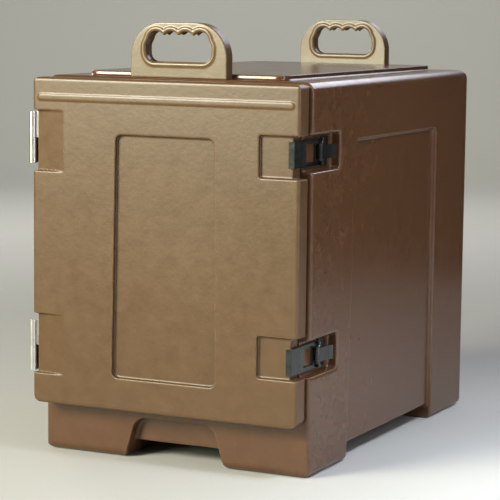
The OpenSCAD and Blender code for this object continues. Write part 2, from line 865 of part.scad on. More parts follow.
// A plate with a window, two arms back to the hook's pin and a lip over the door's pocket
module latch_hook(z) {
    half = hook_h / 2;
    arm_h = (hook_h - window_h) / 2;
    lip_front = hook_tip_y - lip_t;
    color(nylon) place() difference() {
        union() {
            along_x(hook_x, hook_x + hook_t) {
                translate([lip_front, z - half]) square([window_front - lip_front, hook_h]);
                for (edge = [z - half, z + half - arm_h])
                    translate([lip_front, edge]) square([hook_pivot.y - lip_front, arm_h]);
            }
            for (edge = [z - half, z + half - arm_h]) along_z(edge, edge + arm_h)
                translate(hook_pivot) circle(hook_eye_r);
            along_z(z - half, z + half)
                translate([hook_x + hook_t - lip_w, lip_front]) square([lip_w, lip_t]);
        }
        translate([hook_pivot.x, hook_pivot.y, z - hook_h])
            cylinder(h = 2 * hook_h, r = hook_pin_r + pin_clearance);
    }
}

module lever_pin(z) {
    color(steel) place() translate([lever_pivot.x, lever_pivot.y, z - base_half])
        cylinder(h = 2 * base_half, r = lever_pin_r);
}

module hook_pin(z) {
    color(steel) place() translate([hook_pivot.x, hook_pivot.y, z - hook_h / 2])
        cylinder(h = hook_h, r = hook_pin_r);
}

module upper_latch_base() latch_base(latch_high_z);
module upper_latch_lever() latch_lever(latch_high_z);
module upper_latch_hook() latch_hook(latch_high_z);
module upper_latch_lever_pin() lever_pin(latch_high_z);
module upper_latch_hook_pin() hook_pin(latch_high_z);
module lower_latch_base() latch_base(latch_low_z);
module lower_latch_lever() latch_lever(latch_low_z);
module lower_latch_hook() latch_hook(latch_low_z);
module lower_latch_lever_pin() lever_pin(latch_low_z);
module lower_latch_hook_pin() hook_pin(latch_low_z);

// ---------------------------------------------------------------- nodes

body_shell();
body_foam();
body_fill_plugs();
front_handle();
rear_handle();
left_pan_ledges();
right_pan_ledges();
body_inserts();
door_shell();
door_foam();
door_fill_plug();
door_gasket();
door_inserts();
upper_hinge_body_leaf();
upper_hinge_door_leaf();
upper_hinge_pin();
lower_hinge_body_leaf();
lower_hinge_door_leaf();
lower_hinge_pin();
hinge_body_screws();
hinge_door_screws();
upper_latch_base();
upper_latch_lever();
upper_latch_hook();
upper_latch_lever_pin();
upper_latch_hook_pin();
lower_latch_base();
lower_latch_lever();
lower_latch_hook();
lower_latch_lever_pin();
lower_latch_hook_pin();
latch_screws();
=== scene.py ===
# An insulated food carrier: a foam-filled moulded box with a door hinged on its left side,
# two draw latches on its right and a moulded handle at each end. Lengths are in metres.
import math

import bmesh
import bpy
from mathutils import Matrix, Vector


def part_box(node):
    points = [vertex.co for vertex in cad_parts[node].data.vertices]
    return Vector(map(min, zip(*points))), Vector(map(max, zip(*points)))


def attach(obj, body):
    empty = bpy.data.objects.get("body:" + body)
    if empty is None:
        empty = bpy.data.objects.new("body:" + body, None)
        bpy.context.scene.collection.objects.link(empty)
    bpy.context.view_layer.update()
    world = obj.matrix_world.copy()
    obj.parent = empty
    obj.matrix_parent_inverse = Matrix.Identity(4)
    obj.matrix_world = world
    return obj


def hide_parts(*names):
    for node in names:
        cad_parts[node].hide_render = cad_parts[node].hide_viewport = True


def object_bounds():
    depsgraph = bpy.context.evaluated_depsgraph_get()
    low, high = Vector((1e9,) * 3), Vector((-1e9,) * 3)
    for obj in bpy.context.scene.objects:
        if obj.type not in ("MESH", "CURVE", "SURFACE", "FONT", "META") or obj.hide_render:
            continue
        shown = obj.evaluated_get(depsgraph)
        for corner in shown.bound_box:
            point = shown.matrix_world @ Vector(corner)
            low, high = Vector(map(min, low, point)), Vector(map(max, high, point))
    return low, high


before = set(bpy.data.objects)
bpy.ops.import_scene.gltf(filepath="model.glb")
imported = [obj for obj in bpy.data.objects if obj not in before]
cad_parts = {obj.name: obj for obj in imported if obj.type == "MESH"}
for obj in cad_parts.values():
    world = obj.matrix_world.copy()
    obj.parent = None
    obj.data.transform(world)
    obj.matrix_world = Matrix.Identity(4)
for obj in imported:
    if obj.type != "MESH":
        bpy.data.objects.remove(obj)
cad_box = [list(corner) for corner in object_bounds()]
scene = bpy.context.scene


# ------------------------------------------------------------------ camera
# A long lens stands to the right of the front and a little above the carrier's top,
# so that the front, the right side and a sliver of the top show.
camera_aside = 1.1538
camera_ahead = 2.8688
camera_height = 0.6801
camera_turn = math.radians(25.87)
camera_dip = math.radians(7.13)
camera_roll = math.radians(0.65)
camera_lens = bpy.data.cameras.new("camera")
camera_lens.lens = 146.75
camera_lens.sensor_width = 36
camera = bpy.data.objects.new("camera", camera_lens)
camera.matrix_world = (
    Matrix.Translation((cad_box[1][0] + camera_aside, -camera_ahead, camera_height))
    @ Matrix.Rotation(camera_turn, 4, "Z")
    @ Matrix.Rotation(math.pi / 2 - camera_dip, 4, "X")
    @ Matrix.Rotation(camera_roll, 4, "Z")
)
scene.collection.objects.link(camera)
scene.camera = camera
scene.view_settings.view_transform = "Standard"


# ------------------------------------------------------------------ moulded body
# One hollow polyethylene skin, cast by turning a closed mould in an oven, so it has no
# seams and all its edges are soft. The foam is poured in afterwards and holds it stiff.
body_voxel = 0.0017
body_softening = 3
body_triangles = 185000


def cad_copy(name, *nodes):
    """A new object whose mesh joins copies of these CAD nodes."""
    shape = bmesh.new()
    for node in nodes:
        shape.from_mesh(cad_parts[node].data)
    bmesh.ops.remove_doubles(shape, verts=shape.verts, dist=1e-6)
    mesh = bpy.data.meshes.new(name)
    shape.to_mesh(mesh)
    shape.free()
    piece = bpy.data.objects.new(name, mesh)
    scene.collection.objects.link(piece)
    return piece


def apply_modifiers(piece):
    """Makes the result of the piece's modifiers its plain mesh."""
    graph = bpy.context.evaluated_depsgraph_get()
    mesh = bpy.data.meshes.new_from_object(piece.evaluated_get(graph), depsgraph=graph)
    piece.modifiers.clear()
    piece.data = mesh


def shade_by_area(piece):
    """Smooth shading that keeps the wide flat faces flat."""
    piece.data.shade_smooth()
    weigh = piece.modifiers.new("weigh", "WEIGHTED_NORMAL")
    weigh.weight = 80
    apply_modifiers(piece)


def mould(piece, voxel, softening, triangles):
    """Casts the piece as one skin whose edges are all a little round."""
    cast = piece.modifiers.new("cast", "REMESH")
    cast.mode = "VOXEL"
    cast.voxel_size = voxel
    soften = piece.modifiers.new("soften", "SMOOTH")
    soften.factor = 0.5
    soften.iterations = softening
    apply_modifiers(piece)
    count = len(piece.data.loops) - 2 * len(piece.data.polygons)
    thin = piece.modifiers.new("thin", "DECIMATE")
    thin.ratio = min(1, triangles / count)
    apply_modifiers(piece)
    shade_by_area(piece)


def add_node(tree, kind, sockets=None, **settings):
    """One node in the tree, with its settings, and a value or a link for each named socket."""
    made = tree.nodes.new(kind)
    for name, value in settings.items():
        setattr(made, name, value)
    for name, value in (sockets or {}).items():
        if isinstance(value, bpy.types.NodeSocket):
            tree.links.new(value, made.inputs[name])
        else:
            made.inputs[name].default_value = value
    return made


def sums(tree, operation, first, second=0.0, third=0.0):
    return add_node(tree, "ShaderNodeMath", {0: first, 1: second, 2: third},
                    operation=operation).outputs[0]


def spread(tree, value, low, high, to_low=0.0, to_high=1.0):
    """The value, taken from the range low to high to another range, and held within it."""
    return add_node(tree, "ShaderNodeMapRange", {"Value": value, "From Min": low, "From Max": high,
                    "To Min": to_low, "To Max": to_high}).outputs[0]


def effect(name, inputs, outputs):
    """An empty shader group with these named inputs and outputs."""
    tree = bpy.data.node_groups.new(name, "ShaderNodeTree")
    for label, value in inputs.items():
        socket = tree.interface.new_socket(name=label, in_out="INPUT",
                                           socket_type="NodeSocketFloat")
        socket.default_value = value
    for label in outputs:
        tree.interface.new_socket(name=label, in_out="OUTPUT", socket_type="NodeSocketFloat")
    return tree, tree.nodes.new("NodeGroupInput").outputs, tree.nodes.new("NodeGroupOutput").inputs


def object_place(tree):
    return add_node(tree, "ShaderNodeTexCoord").outputs["Object"]


def noise(tree, place, scale, detail=2.0, roughness=0.5):
    return add_node(tree, "ShaderNodeTexNoise", {"Vector": place, "Scale": scale,
                    "Detail": detail, "Roughness": roughness}).outputs["Fac"]


def make_grain():
    """The skin's fine grain, the slow swell of a large moulded wall, and small light specks."""
    tree, given, result = effect("moulded_grain", {"Grain": 0.0012, "Depth": 0.00003,
                                 "Swell": 0.0004}, ["Height", "Cloud", "Speck"])
    place = object_place(tree)
    swell_scale, cloud_scale, mottle_scale, speck_scale = 6.5, 5.0, 46.0, 120.0
    speck_threshold = 0.72
    scale = sums(tree, "DIVIDE", 1.0, given["Grain"])
    fine = noise(tree, place, scale, 2, 0.6)
    pits = add_node(tree, "ShaderNodeTexVoronoi", {"Vector": place,
                    "Scale": sums(tree, "MULTIPLY", scale, 0.42)}, feature="SMOOTH_F1").outputs[0]
    rough = sums(tree, "MULTIPLY", sums(tree, "ADD", fine, pits), given["Depth"])
    slow = sums(tree, "MULTIPLY", noise(tree, place, swell_scale, 1), given["Swell"])
    tree.links.new(sums(tree, "ADD", rough, slow), result["Height"])
    wide = noise(tree, place, cloud_scale, 3, 0.55)
    close = noise(tree, place, mottle_scale, 4, 0.65)
    mixed = sums(tree, "MULTIPLY_ADD", close, 0.65, sums(tree, "MULTIPLY", wide, 0.35))
    tree.links.new(spread(tree, mixed, 0.32, 0.68), result["Cloud"])
    cells = add_node(tree, "ShaderNodeTexVoronoi", {"Vector": place, "Scale": speck_scale})
    dot = spread(tree, cells.outputs["Distance"], 0.05, 0.09, 1.0, 0.0)
    chosen = sums(tree, "GREATER_THAN", cells.outputs["Color"], speck_threshold)
    tree.links.new(sums(tree, "MULTIPLY", dot, chosen), result["Speck"])
    return tree


def make_wear():
    """Where handling has polished the edges, and the long fine scuffs on the faces."""
    tree, given, result = effect("handling_wear", {"Sharpness": 0.02, "Scuffs": 0.5},
                                 ["Edge", "Scuff"])
    place = object_place(tree)
    break_scale, patch_scale = 70.0, 9.0
    streak_scale, streak_lean = (300.0, 260.0, 9.0), (0.3, 0.2, 0.5)
    bend = add_node(tree, "ShaderNodeNewGeometry").outputs["Pointiness"]
    top = sums(tree, "ADD", 0.5, given["Sharpness"])
    edge = add_node(tree, "ShaderNodeMapRange", {"Value": bend, "From Min": 0.505,
                    "From Max": top}).outputs[0]
    broken = spread(tree, noise(tree, place, break_scale, 4, 0.7), 0.3, 0.62)
    tree.links.new(sums(tree, "MULTIPLY", edge, broken), result["Edge"])
    drawn = add_node(tree, "ShaderNodeMapping", {"Vector": place, "Rotation": streak_lean,
                     "Scale": streak_scale}).outputs[0]
    streak = spread(tree, noise(tree, drawn, 1.0, 3, 0.6), 0.64, 0.74)
    patch = spread(tree, noise(tree, place, patch_scale, 2), 0.5, 0.7)
    marks = sums(tree, "MULTIPLY", sums(tree, "MULTIPLY", streak, patch), given["Scuffs"])
    tree.links.new(marks, result["Scuff"])
    return tree


grain_effect = make_grain()
wear_effect = make_wear()


def place_effect(tree, group, **values):
    return add_node(tree, "ShaderNodeGroup", values, node_tree=group).outputs


def blend_colours(tree, factor, first, second):
    return add_node(tree, "ShaderNodeMix", {0: factor, 6: first, 7: second},
                    data_type="RGBA").outputs[2]


def new_finish(name, **constants):
    """A material with a Principled surface, and the values that are the same all over it."""
    material = bpy.data.materials.new(name)
    material.use_nodes = True
    surface = material.node_tree.nodes["Principled BSDF"]
    for label, value in constants.items():
        surface.inputs[label.replace("_", " ")].default_value = value
    return material, material.node_tree, surface.inputs


def moulded_plastic(name, colour, deep, worn, shine, grain, depth):
    """Coloured polyethylene: cloudy, finely grained, paler on its edges and scuffs."""
    material, tree, surface = new_finish(name, IOR=1.5)
    skin = place_effect(tree, grain_effect, Grain=grain, Depth=depth, Swell=0.0005)
    wear = place_effect(tree, wear_effect, Sharpness=0.05, Scuffs=0.4)
    cloudy = blend_colours(tree, skin["Cloud"], deep, colour)
    rubbed = sums(tree, "MULTIPLY", sums(tree, "MAXIMUM", wear["Edge"], wear["Scuff"]), 0.3)
    pale = sums(tree, "MAXIMUM", rubbed, sums(tree, "MULTIPLY", skin["Speck"], 0.35))
    tree.links.new(blend_colours(tree, pale, cloudy, worn), surface["Base Color"])
    dull = spread(tree, skin["Cloud"], 0.0, 1.0, shine - 0.04, shine + 0.05)
    tree.links.new(sums(tree, "MULTIPLY_ADD", wear["Scuff"], 0.1, dull), surface["Roughness"])
    bump = add_node(tree, "ShaderNodeBump", {"Height": skin["Height"], "Distance": 1.0})
    tree.links.new(bump.outputs[0], surface["Normal"])
    return material


body_plastic = moulded_plastic("body_plastic", (0.102, 0.047, 0.02, 1), (0.08, 0.036, 0.015, 1),
                               (0.26, 0.17, 0.1, 1), 0.22, 0.0014, 0.000006)


def paint(piece, material):
    piece.data.materials.clear()
    piece.data.materials.append(material)


body = cad_copy("moulded_body", "body_shell", "body_foam")
mould(body, body_voxel, body_softening, body_triangles)
paint(body, body_plastic)
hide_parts("body_shell")
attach(body, "carrier")


# ------------------------------------------------------------------ foam and inserts
# Rigid polyurethane foam fills the body and the door, and brass inserts are cast into
# the skin where a screw will go. None of it shows when the carrier is whole.
def cellular_foam():
    material, tree, surface = new_finish("cellular_foam", Roughness=0.85)
    place = object_place(tree)
    cells = add_node(tree, "ShaderNodeTexVoronoi", {"Vector": place, "Scale": 700.0}).outputs[0]
    tint = spread(tree, noise(tree, place, 20.0, 4), 0.3, 0.7)
    tree.links.new(blend_colours(tree, tint, (0.62, 0.5, 0.24, 1), (0.75, 0.66, 0.4, 1)),
                   surface["Base Color"])
    bump = add_node(tree, "ShaderNodeBump", {"Height": cells, "Distance": 0.0003})
    tree.links.new(bump.outputs[0], surface["Normal"])
    return material


def turned_brass():
    material, tree, surface = new_finish("turned_brass", Metallic=1.0)
    place = object_place(tree)
    tint = noise(tree, place, 300.0, 3)
    tree.links.new(blend_colours(tree, tint, (0.62, 0.42, 0.16, 1), (0.78, 0.58, 0.27, 1)),
                   surface["Base Color"])
    tree.links.new(spread(tree, tint, 0.2, 0.8, 0.25, 0.45), surface["Roughness"])
    return material


foam_finish = cellular_foam()
brass_finish = turned_brass()
for node in ("body_foam", "door_foam"):
    paint(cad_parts[node], foam_finish)
for node in ("body_inserts", "door_inserts"):
    paint(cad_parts[node], brass_finish)


# ------------------------------------------------------------------ handles
# Two upright handles are moulded with the body, one at its front and one at its back.
# Each has a grip hole with hollows for four fingers, and a rolled rim round the hole.
handle_voxel = 0.0009
handle_softening = 5
handle_triangles = 60000
rim_radius = 0.0042
rim_out = 0.0022
rim_sink = 0.0024


def flat_loops(node, facing):
    """The closed outlines of the node's flat faces that look along facing, shortest first."""
    shape = bmesh.new()
    shape.from_mesh(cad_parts[node].data)
    bmesh.ops.remove_doubles(shape, verts=shape.verts, dist=1e-6)
    flat = {face for face in shape.faces if face.normal.dot(facing) > 0.999}
    border = [edge for edge in shape.edges
              if len([face for face in edge.link_faces if face in flat]) == 1]
    follow = {}
    for edge in border:
        for here, there in (edge.verts, reversed(edge.verts)):
            follow.setdefault(here, []).append(there)
    loops = []
    while follow:
        start = next(iter(follow))
        loop = [start]
        while follow.get(loop[-1]):
            last = loop[-1]
            step = follow[last].pop()
            follow[step].remove(last)
            if not follow[last]:
                del follow[last]
            if step is start:
                break
            loop.append(step)
        follow.pop(start, None)
        loops.append([vert.co.copy() for vert in loop])
    shape.free()
    return sorted(loops, key=lambda loop: max(p.x for p in loop) - min(p.x for p in loop))


def even_points(loop, step):
    """The closed loop again, with its points an even step apart."""
    sides = [(loop[i] - loop[i - 1]).length for i in range(len(loop))]
    total = sum(sides)
    wanted = round(total / step)
    points, passed, i = [], 0.0, 0
    for k in range(wanted):
        along = total * k / wanted
        while passed + sides[i] < along:
            passed += sides[i]
            i += 1
        points.append(loop[i - 1].lerp(loop[i], (along - passed) / sides[i]))
    return points


def rolled_rim(loop, level):
    """A round cord of plastic along the loop, moved outwards from the hole it goes round."""
    points = even_points(loop, 0.0015)
    count = len(points)
    middle = sum(points, Vector()) / count
    line = bpy.data.curves.new("rim", "CURVE")
    line.dimensions = "3D"
    line.bevel_depth = rim_radius
    line.bevel_resolution = 3
    path = line.splines.new("POLY")
    path.points.add(count - 1)
    path.use_cyclic_u = True
    turning = sum((points[i - 1] - middle).cross(points[i] - middle).y for i in range(count))
    for i in range(count):
        run = points[(i + 3) % count] - points[i - 3]
        out = Vector((run.z, 0, -run.x)).normalized() * math.copysign(rim_out, -turning)
        path.points[i].co = (points[i].x + out.x, level, points[i].z + out.z, 1)
    rim = bpy.data.objects.new("rim", line)
    scene.collection.objects.link(rim)
    return rim


def join(first, others):
    """Adds the meshes of the others to the first piece."""
    graph = bpy.context.evaluated_depsgraph_get()
    shape = bmesh.new()
    shape.from_mesh(first.data)
    for other in others:
        shape.from_mesh(bpy.data.meshes.new_from_object(other.evaluated_get(graph)))
        bpy.data.objects.remove(other)
    shape.to_mesh(first.data)
    shape.free()


# The handles are moulded in the body's own plastic; this paler copy of it is a painted sheen,
# standing in for the haze reflection that their faces catch.
handle_plastic = moulded_plastic("handle_plastic", (0.15, 0.095, 0.045, 1), (0.11, 0.066, 0.03, 1),
                                 (0.3, 0.24, 0.15, 1), 0.32, 0.0022, 0.00006)
for node in ("front_handle", "rear_handle"):
    handle = cad_copy("moulded_" + node, node)
    low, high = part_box(node)
    front_loop = flat_loops(node, Vector((0, -1, 0)))[0]
    back_loop = flat_loops(node, Vector((0, 1, 0)))[0]
    join(handle, [rolled_rim(front_loop, low.y + rim_sink),
                  rolled_rim(back_loop, high.y - rim_sink)])
    mould(handle, handle_voxel, handle_softening, handle_triangles)
    paint(handle, handle_plastic)
    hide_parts(node)
    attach(handle, "carrier")


# ------------------------------------------------------------------ pan ledges
# Five ledges stand out from each side wall of the cavity, and a pan's rim slides on a
# pair of them. They are moulded with the wall, so their edges are as round as its own.
ledge_count = 5
ledge_pitch = 0.0762
ledge_corner = 0.004
ledge_bevel = 0.0015


def recipe(name, inputs):
    """A Geometry Nodes tree with these named inputs, and what it is given and gives."""
    tree = bpy.data.node_groups.new(name, "GeometryNodeTree")
    for label, kind in {"Geometry": "Geometry", **inputs, "Finish": "Material"}.items():
        tree.interface.new_socket(name=label, in_out="INPUT", socket_type="NodeSocket" + kind)
    tree.interface.new_socket(name="Geometry", in_out="OUTPUT", socket_type="NodeSocketGeometry")
    return tree, tree.nodes.new("NodeGroupInput").outputs, tree.nodes.new("NodeGroupOutput").inputs


def serve(tree, result, instances, finish):
    """Ends a tree: its instances become one mesh with the finish on it."""
    real = add_node(tree, "GeometryNodeRealizeInstances", {"Geometry": instances}).outputs[0]
    painted = add_node(tree, "GeometryNodeSetMaterial", {"Geometry": real, "Material": finish})
    tree.links.new(painted.outputs[0], result["Geometry"])


def cook(piece, tree, **values):
    """Runs the tree on the piece with these inputs, and keeps the mesh it makes."""
    modifier = piece.modifiers.new(tree.name, "NODES")
    modifier.node_group = tree
    for item in tree.interface.items_tree:
        label = item.name.replace(" ", "_")
        if item.in_out == "INPUT" and label in values:
            modifier[item.identifier] = values[label]
    apply_modifiers(piece)


def point_piece(name, points):
    """A new object whose mesh is only these points."""
    mesh = bpy.data.meshes.new(name)
    mesh.from_pydata([tuple(point) for point in points], [], [])
    piece = bpy.data.objects.new(name, mesh)
    scene.collection.objects.link(piece)
    return piece


def ledge_recipe():
    tree, given, result = recipe("pan_ledges", {"Rise": "Vector", "Run": "Vector", "Count": "Int",
                                 "Depth": "Float", "Thickness": "Float", "Corner": "Float"})
    outline = add_node(tree, "GeometryNodeCurvePrimitiveQuadrilateral",
                       {"Width": given["Thickness"], "Height": given["Depth"]}).outputs[0]
    rounded = add_node(tree, "GeometryNodeFilletCurve", {"Curve": outline, "Count": 5,
                       "Radius": given["Corner"], "Limit Radius": True}, mode="POLY").outputs[0]
    run = add_node(tree, "GeometryNodeCurvePrimitiveLine", {"End": given["Run"]}).outputs[0]
    bar = add_node(tree, "GeometryNodeCurveToMesh", {"Curve": run, "Profile Curve": rounded,
                   "Fill Caps": True}).outputs[0]
    stack = add_node(tree, "GeometryNodeMeshLine", {"Count": given["Count"],
                     "Offset": given["Rise"]}).outputs[0]
    rungs = add_node(tree, "GeometryNodeInstanceOnPoints", {"Points": stack, "Instance": bar})
    placed = add_node(tree, "GeometryNodeInstanceOnPoints", {"Points": given["Geometry"],
                      "Instance": rungs.outputs[0]}).outputs[0]
    serve(tree, result, placed, given["Finish"])
    return tree


def bevel_edges(piece, width, segments=2):
    """Rounds the piece's sharp edges."""
    bevel = piece.modifiers.new("bevel", "BEVEL")
    bevel.width = width
    bevel.segments = segments
    bevel.limit_method = "ANGLE"
    bevel.angle_limit = math.radians(32)
    bevel.use_clamp_overlap = True
    apply_modifiers(piece)
    shade_by_area(piece)


ledge_tree = ledge_recipe()
for node in ("left_pan_ledges", "right_pan_ledges"):
    low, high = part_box(node)
    thickness = high.z - low.z - (ledge_count - 1) * ledge_pitch
    ledges = point_piece("moulded_" + node, [((low.x + high.x) / 2, low.y, low.z + thickness / 2)])
    cook(ledges, ledge_tree, Rise=(0, 0, ledge_pitch), Run=(0, high.y - low.y, 0),
         Count=ledge_count, Depth=high.x - low.x, Thickness=thickness, Corner=ledge_corner,
         Finish=body_plastic)
    bevel_edges(ledges, ledge_bevel)
    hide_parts(node)
    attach(ledges, "carrier")


# ------------------------------------------------------------------ door
# The door is moulded and foamed like the body. Its raised back plugs the cavity's mouth,
# and its front has a sunk panel, a bead along the top and pockets for the hardware.
door_voxel = 0.0012
door_softening = 2
door_triangles = 190000
satin_plastic = moulded_plastic("satin_plastic", (0.1, 0.051, 0.018, 1), (0.08, 0.04, 0.014, 1),
                                (0.28, 0.2, 0.12, 1), 0.37, 0.0028, 0.00009)
door = cad_copy("moulded_door", "door_shell", "door_foam")
mould(door, door_voxel, door_softening, door_triangles)
paint(door, satin_plastic)
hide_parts("door_shell")
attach(door, "door")


# ------------------------------------------------------------------ filling plugs
# Pressed-in plastic plugs close the ports that the foam was poured through: two in the
# back of the body and one in the underside of the door.
plug_voxel = 0.0006
plug_softening = 4
plug_triangles = 12000
for name, node, finish, slot, rider in (
    ("body_plugs", "body_fill_plugs", body_plastic, "moulded_body", "carrier"),
    ("door_plug", "door_fill_plug", satin_plastic, "moulded_door", "door"),
):
    plugs = cad_copy(name, node)
    mould(plugs, plug_voxel, plug_softening, plug_triangles)
    paint(plugs, finish)
    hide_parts(node)
    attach(plugs, rider)


# ------------------------------------------------------------------ gasket
# A soft rubber bulb runs round the back of the door, on a root that is pressed into a
# groove, and closes the gap between the door and the rim of the cavity.
root_width = 0.003
root_depth = 0.004
bulb_width = 0.01
gasket_corner = 0.022


def rubber():
    material, tree, surface = new_finish("gasket_rubber", IOR=1.45)
    place = object_place(tree)
    bloom = spread(tree, noise(tree, place, 60.0, 4), 0.35, 0.7)
    tree.links.new(blend_colours(tree, bloom, (0.018, 0.018, 0.018, 1), (0.045, 0.044, 0.042, 1)),
                   surface["Base Color"])
    tree.links.new(spread(tree, bloom, 0.0, 1.0, 0.55, 0.75), surface["Roughness"])
    fine = noise(tree, place, 1400.0, 2)
    bump = add_node(tree, "ShaderNodeBump", {"Height": fine, "Distance": 0.00004})
    tree.links.new(bump.outputs[0], surface["Normal"])
    return material


def gasket_recipe():
    tree, given, result = recipe("door_gasket", {"Width": "Float", "Height": "Float",
                                 "Corner": "Float", "Bulb": "Vector", "Root": "Vector",
                                 "Root Place": "Vector"})
    outline = add_node(tree, "GeometryNodeCurvePrimitiveQuadrilateral",
                       {"Width": given["Width"], "Height": given["Height"]}).outputs[0]
    path = add_node(tree, "GeometryNodeFilletCurve", {"Curve": outline, "Count": 12,
                    "Radius": given["Corner"], "Limit Radius": True}, mode="POLY").outputs[0]
    level = add_node(tree, "GeometryNodeSetCurveNormal", {"Curve": path},
                     mode="Z_UP").outputs[0]
    ring = add_node(tree, "GeometryNodeCurvePrimitiveCircle", {"Resolution": 20,
                    "Radius": 0.5}, mode="RADIUS").outputs[0]
    bulb = add_node(tree, "GeometryNodeTransform", {"Geometry": ring, "Scale": given["Bulb"]})
    square = add_node(tree, "GeometryNodeCurvePrimitiveQuadrilateral",
                      {"Width": 1.0, "Height": 1.0}).outputs[0]
    root = add_node(tree, "GeometryNodeTransform", {"Geometry": square, "Scale": given["Root"],
                    "Translation": given["Root Place"]})
    parts = add_node(tree, "GeometryNodeJoinGeometry")
    for profile in (bulb, root):
        strip = add_node(tree, "GeometryNodeCurveToMesh", {"Curve": level,
                         "Profile Curve": profile.outputs[0]})
        tree.links.new(strip.outputs[0], parts.inputs[0])
    upright = add_node(tree, "GeometryNodeTransform", {"Geometry": parts.outputs[0],
                       "Rotation": (math.pi / 2, 0, 0)}).outputs[0]
    placed = add_node(tree, "GeometryNodeInstanceOnPoints", {"Points": given["Geometry"],
                      "Instance": upright}).outputs[0]
    serve(tree, result, placed, given["Finish"])
    return tree


low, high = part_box("door_gasket")
bulb_thick = high.y - low.y - root_depth
gasket = point_piece("rubber_gasket", [((low.x + high.x) / 2, high.y - bulb_thick / 2,
                                        (low.z + high.z) / 2)])
cook(gasket, gasket_recipe(), Width=high.x - low.x - bulb_width,
     Height=high.z - low.z - bulb_width, Corner=gasket_corner, Bulb=(bulb_width, bulb_thick, 1),
     Root=(root_width, root_depth, 1), Root_Place=(0, (bulb_thick + root_depth) / 2, 0),
     Finish=rubber())
shade_by_area(gasket)
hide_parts("door_gasket")
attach(gasket, "door")


# ------------------------------------------------------------------ hinges
# Each hinge is a pair of stainless leaves, one rolled round a fixed pin and one that
# lifts off it. They are pressed from sheet, so their edges have a small even round.
leaf_bevel = 0.0004


def brushed_steel(name, roughness, dark=(0.66, 0.65, 0.62, 1), light=(0.78, 0.77, 0.74, 1)):
    """Steel sheet or wire whose upright brush lines are long and fine."""
    material, tree, surface = new_finish(name, Metallic=1.0)
    place = object_place(tree)
    drawn = add_node(tree, "ShaderNodeMapping",
                     {"Vector": place, "Scale": (900.0, 900.0, 40.0)}).outputs[0]
    brush = noise(tree, drawn, 1.0, 3, 0.6)
    smear = noise(tree, place, 55.0, 3)
    tree.links.new(blend_colours(tree, smear, dark, light), surface["Base Color"])
    mixed = sums(tree, "MULTIPLY_ADD", brush, 0.14, sums(tree, "MULTIPLY", smear, 0.16))
    tree.links.new(sums(tree, "ADD", mixed, roughness), surface["Roughness"])
    bump = add_node(tree, "ShaderNodeBump", {"Height": brush, "Distance": 0.0000004})
    tree.links.new(bump.outputs[0], surface["Normal"])
    return material


hinge_steel = brushed_steel("hinge_steel", 0.2)
pin_steel = brushed_steel("pin_steel", 0.05)


def eased_copy(node, bevel, finish, rider):
    """The CAD node's shape with eased edges and a finish, in the node's place."""
    piece = cad_copy("eased_" + node, node)
    shape = bmesh.new()
    shape.from_mesh(piece.data)
    bmesh.ops.dissolve_limit(shape, angle_limit=math.radians(2), verts=shape.verts,
                             edges=shape.edges)
    shape.to_mesh(piece.data)
    shape.free()
    bevel_edges(piece, bevel)
    paint(piece, finish)
    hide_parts(node)
    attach(piece, rider)


for level in ("upper", "lower"):
    eased_copy(f"{level}_hinge_body_leaf", leaf_bevel, hinge_steel, "carrier")
    eased_copy(f"{level}_hinge_door_leaf", leaf_bevel, hinge_steel, "door")
    paint(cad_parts[f"{level}_hinge_pin"], pin_steel)


# ------------------------------------------------------------------ latches
# Each draw latch is moulded nylon: a base with two ears, a lever with a finger tab, and
# a hook plate with a window. Steel pins join them, and the hook's lip holds the door.
nylon_bevel = 0.0005


def black_nylon():
    material, tree, surface = new_finish("black_nylon", IOR=1.5)
    place = object_place(tree)
    wear = place_effect(tree, wear_effect, Sharpness=0.08, Scuffs=0.5)
    tint = noise(tree, place, 90.0, 3)
    dark = blend_colours(tree, tint, (0.002, 0.0025, 0.002, 1), (0.005, 0.006, 0.005, 1))
    rubbed = sums(tree, "MULTIPLY", sums(tree, "MAXIMUM", wear["Edge"], wear["Scuff"]), 0.25)
    tree.links.new(blend_colours(tree, rubbed, dark, (0.1, 0.11, 0.1, 1)), surface["Base Color"])
    tree.links.new(spread(tree, tint, 0.3, 0.7, 0.17, 0.25), surface["Roughness"])
    fine = noise(tree, place, 2200.0, 2, 0.6)
    bump = add_node(tree, "ShaderNodeBump", {"Height": fine, "Distance": 0.00001})
    tree.links.new(bump.outputs[0], surface["Normal"])
    return material


nylon = black_nylon()
for level in ("upper", "lower"):
    for part, rider in (("base", "carrier"), ("lever", level + "_lever"),
                        ("hook", level + "_hook")):
        eased_copy(f"{level}_latch_{part}", nylon_bevel, nylon, rider)
    for part in ("lever_pin", "hook_pin"):
        paint(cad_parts[f"{level}_latch_{part}"], pin_steel)


# ------------------------------------------------------------------ screws
# Countersunk screws with a cross recess hold the hinges, in bright steel, and the latches,
# blackened. Each stands where its CAD screw does, turned as far as its thread went.
head_radius = 0.0043
shank_radius = 0.0024
screw_length = 0.014
slot_width = 0.001
head_bevel = 0.0002


def islands(node):
    """The lowest and highest corner of each separate solid in the CAD node."""
    shape = bmesh.new()
    shape.from_mesh(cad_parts[node].data)
    bmesh.ops.remove_doubles(shape, verts=shape.verts, dist=1e-6)
    left, corners = set(shape.verts), []
    while left:
        reached = [left.pop()]
        places = []
        while reached:
            vert = reached.pop()
            places.append(vert.co.copy())
            near = {edge.other_vert(vert) for edge in vert.link_edges} & left
            left -= near
            reached.extend(near)
        corners.append((Vector(min(p[i] for p in places) for i in range(3)),
                        Vector(max(p[i] for p in places) for i in range(3))))
    shape.free()
    return sorted(corners, key=lambda pair: tuple(pair[0]))


